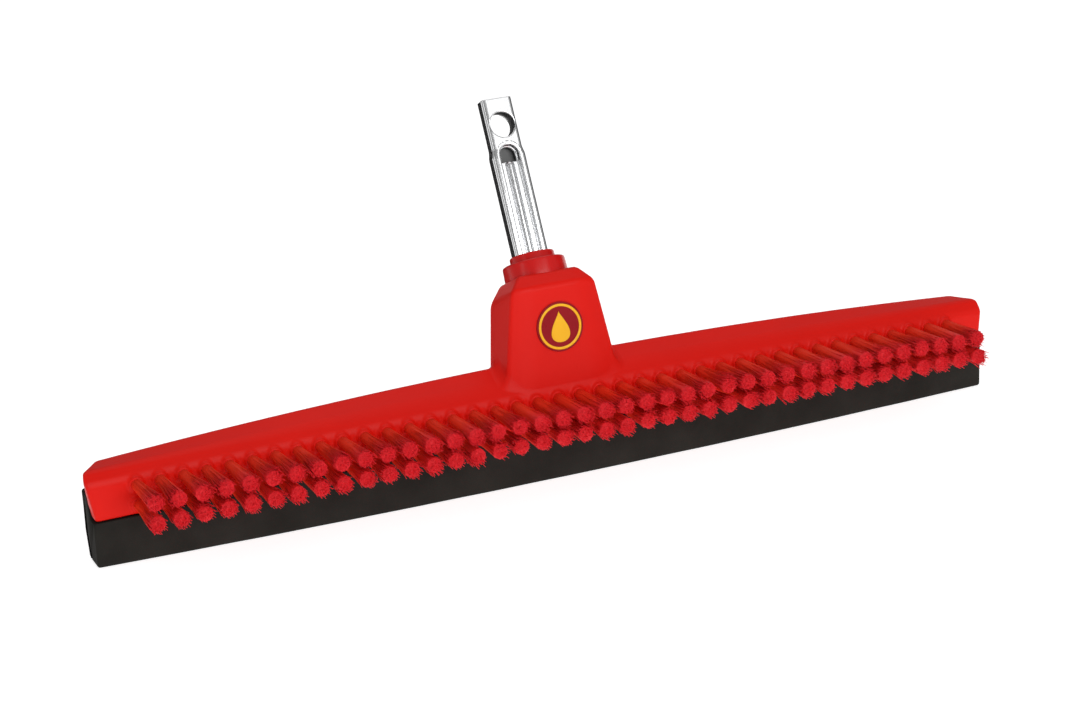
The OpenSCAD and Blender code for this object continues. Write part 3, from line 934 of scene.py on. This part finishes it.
def badge_drop(material):
    """A plain water drop, its point upwards."""
    turns = np.linspace(0, 2 * math.pi, 73)[:-1]
    outline = [(-6.4 * math.sin(t) * abs(math.sin(t / 2)) ** 1.6, 6.9 * math.cos(t)) for t in turns]
    points, faces = raised_shape(outline, 0.3, 0.8, 0.12)
    piece = make_piece("badge_drop", on_badge(points), faces, material)
    sharpen(piece, 40)


# ---------------------------------------------------------------- kept CAD nodes

def finish_node(name, material, edge):
    """A CAD node that stays, with its material and a small bevel on its edges."""
    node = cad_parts[name]
    node.data.materials.clear()
    node.data.materials.append(material)
    if edge:
        merge = node.modifiers.new("flat faces", "DECIMATE")
        merge.decimate_type = "DISSOLVE"
        merge.angle_limit = math.radians(1)
        bevel = node.modifiers.new("edge", "BEVEL")
        bevel.width = edge * MM
        bevel.segments = 2
        bevel.limit_method = "ANGLE"
        bevel.angle_limit = math.radians(40)


# ---------------------------------------------------------------- studio

def studio_floor():
    mesh = bpy.data.meshes.new("studio_floor")
    far = 6.0
    mesh.from_pydata([(-far, -far, 0), (far, -far, 0), (far, far, 0), (-far, far, 0)], [],
                     [(0, 1, 2, 3)])
    floor = bpy.data.objects.new("studio_floor", mesh)
    floor.location.z = -0.0002
    bpy.context.scene.collection.objects.link(floor)
    material, _, _ = new_material(
        "studio_floor", Base_Color=(0.6, 0.6, 0.6, 1), Roughness=0.7,
        Specular_IOR_Level=0.1, Emission_Color=(1, 1, 1, 1), Emission_Strength=0.78)
    mesh.materials.append(material)


def dark_card(name, spot, size, aim):
    """A black card beside the set, which only the bright metal sees."""
    mesh = bpy.data.meshes.new(name)
    w, h = size[0] / 2, size[1] / 2
    mesh.from_pydata([(-w, -h, 0), (w, -h, 0), (w, h, 0), (-w, h, 0)], [], [(0, 1, 2, 3)])
    material, _, _ = new_material(name, Base_Color=(0.01, 0.01, 0.01, 1), Roughness=1.0)
    mesh.materials.append(material)
    card = bpy.data.objects.new(name, mesh)
    card.location = spot
    card.rotation_euler = (Vector(aim) - Vector(spot)).to_track_quat("Z", "Y").to_euler()
    for ray in ("camera", "diffuse", "shadow", "transmission", "volume_scatter"):
        setattr(card, "visible_" + ray, False)
    bpy.context.scene.collection.objects.link(card)


def metal_cards():
    """The cards round the tang: one lies on the floor, the others face the tang."""
    tang_spot = (0, 0.05, 0.12)
    dark_card("side_card", (-0.18, 0.58, 0.004), (0.42, 0.86), (-0.18, 0.58, 1))
    dark_card("back_card", (-0.45, 0.95, 0.25), (0.8, 0.7), tang_spot)
    dark_card("right_card", (1.2, 0.15, 0.3), (0.7, 1.1), tang_spot)
    dark_card("left_card", (-1.05, -0.55, 0.6), (0.3, 1.1), tang_spot)
    dark_card("low_card", (0.2, -1.3, 0.1), (1.6, 0.16), tang_spot)


def area_light(name, spot, aim, size, power):
    data = bpy.data.lights.new(name, "AREA")
    data.shape = "RECTANGLE"
    data.size, data.size_y = size
    data.energy = power
    lamp = bpy.data.objects.new(name, data)
    lamp.location = spot
    lamp.rotation_euler = (Vector(aim) - Vector(spot)).to_track_quat("-Z", "Y").to_euler()
    bpy.context.scene.collection.objects.link(lamp)


def studio_light():
    area_light("key_light", (0.1, -1.5, 0.75), (0, 0, 0.05), (1.2, 0.8), 12)
    area_light("fill_light", (-1.6, -0.7, 0.7), (0, 0, 0.05), (0.8, 0.8), 2.5)
    area_light("top_light", (0.1, 0.4, 1.6), (0, 0, 0), (1.6, 1.2), 4.5)
    area_light("metal_light", (0.65, -1.3, 1.02), (0, 0.06, 0.13), (0.5, 0.75), 0.9)
    world = bpy.data.worlds.new("studio_world")
    world.use_nodes = True
    shade = world.node_tree.nodes["Background"]
    shade.inputs["Color"].default_value = (1, 1, 1, 1)
    shade.inputs["Strength"].default_value = 0.36
    bpy.context.scene.world = world


def camera():
    """The view from the left front, a little above."""
    turn, pitch, roll = 0.4059, 0.3489, -0.0426
    data = bpy.data.cameras.new("camera")
    data.sensor_width, data.lens = 36.0, 93.55
    data.clip_start, data.clip_end = 0.05, 50
    spot = bpy.data.objects.new("camera", data)
    ahead = Vector((math.sin(turn) * math.cos(pitch), math.cos(turn) * math.cos(pitch),
                    -math.sin(pitch)))
    right = Vector((math.cos(turn), -math.sin(turn), 0))
    up = right.cross(ahead)
    side = math.cos(roll) * right + math.sin(roll) * up
    top = -math.sin(roll) * right + math.cos(roll) * up
    turned = Matrix((side, top, -ahead)).transposed().to_4x4()
    turned.translation = Vector((-0.46733, -1.06866, 0.48152))
    spot.matrix_world = turned
    bpy.context.scene.collection.objects.link(spot)
    bpy.context.scene.camera = spot


def build():
    steel, enamel, yellow = bright_steel(), badge_enamel(), badge_yellow()
    foam, strand, rail = lip_foam(), bristle(), plain_steel()
    body_shell(body_plastic())
    handle_socket(socket_plastic())
    tang(steel, shaded_inside_steel())
    front_lip(foam)
    rear_lip(foam)
    for i in range(TUFTS):
        tuft_pair(i, strand)
    badge_disc(enamel)
    badge_ring(yellow)
    badge_drop(yellow)
    finish_node("lip_rail", rail, 0.15)
    finish_node("rail_screws", rail, 0.15)
    finish_node("tang_pin", rail, 0)
    finish_node("upper_anchors", rail, 0)
    finish_node("lower_anchors", rail, 0)


camera()
build()
studio_floor()
studio_light()
metal_cards()
bpy.context.scene.view_settings.view_transform = "Standard"
